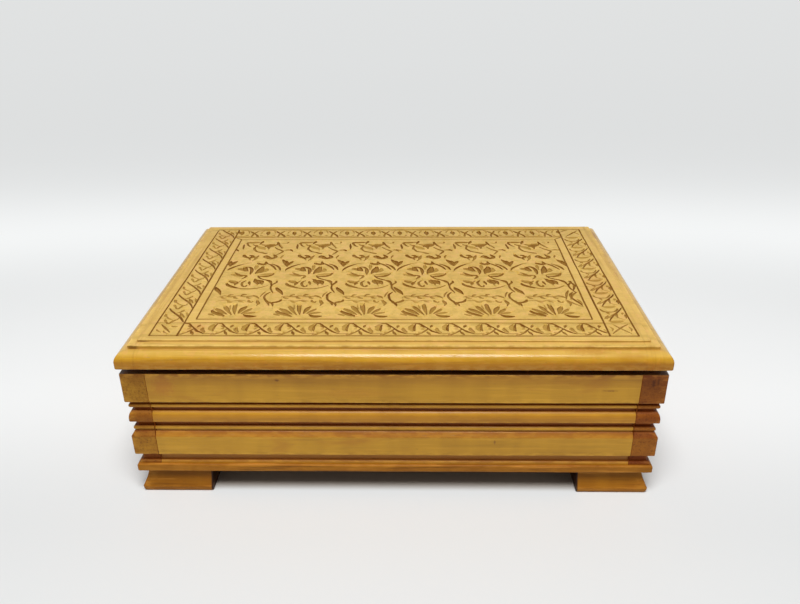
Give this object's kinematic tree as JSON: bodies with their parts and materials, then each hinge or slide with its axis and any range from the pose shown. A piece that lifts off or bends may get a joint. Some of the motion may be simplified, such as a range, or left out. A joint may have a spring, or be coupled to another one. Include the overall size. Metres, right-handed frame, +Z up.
{
  "type": "carved wooden box",
  "caption": "Low rectangular wooden box with moulded walls, flared corner feet and a hinged lid carved with a floral and animal pattern.",
  "frame": {"origin": "on the floor under the middle of the box", "axes": "+X to the right along the length, +Y from the front to the hinged back, +Z up"},
  "size_m": [0.2806, 0.183, 0.091],
  "materials": {
    "lid_wood": "satin varnish",
    "wall_wood": "satin varnish",
    "base_wood": "satin varnish",
    "liner_wood": "plain sanded",
    "brass": "aged satin",
    "steel": "plain"
  },
  "bodies": {
    "case": {"wall_front": "wall_wood", "wall_back": "wall_wood", "wall_left": "wall_wood", "wall_right": "wall_wood", "base_plate": "base_wood", "foot_front_left": "base_wood", "foot_front_right": "base_wood", "foot_back_left": "base_wood", "foot_back_right": "base_wood", "liner_front": "liner_wood", "liner_back": "liner_wood", "liner_left": "liner_wood", "liner_right": "liner_wood", "foot_front_left_screw": "steel", "foot_front_right_screw": "steel", "foot_back_left_screw": "steel", "foot_back_right_screw": "steel", "wall_front_screw_1": "steel", "wall_front_screw_2": "steel", "wall_back_screw_1": "steel", "wall_back_screw_2": "steel", "wall_left_screw": "steel", "wall_right_screw": "steel", "hinge_left_case_leaf": "brass", "hinge_right_case_leaf": "brass", "hinge_left_pin": "steel", "hinge_right_pin": "steel", "hinge_left_case_screw_1": "brass", "hinge_left_case_screw_2": "brass", "hinge_right_case_screw_1": "brass", "hinge_right_case_screw_2": "brass"},
    "lid": {"lid_panel": "lid_wood", "hinge_left_lid_leaf": "brass", "hinge_right_lid_leaf": "brass", "hinge_left_lid_screw_1": "brass", "hinge_left_lid_screw_2": "brass", "hinge_right_lid_screw_1": "brass", "hinge_right_lid_screw_2": "brass"}
  },
  "joints": [
    {"name": "lid_hinge", "type": "hinge", "parent": "case", "child": "lid", "pos_m": [0, 0.08995, 0.07745], "axis": [-1, 0, 0], "range_deg": [0, 120]}
  ]
}
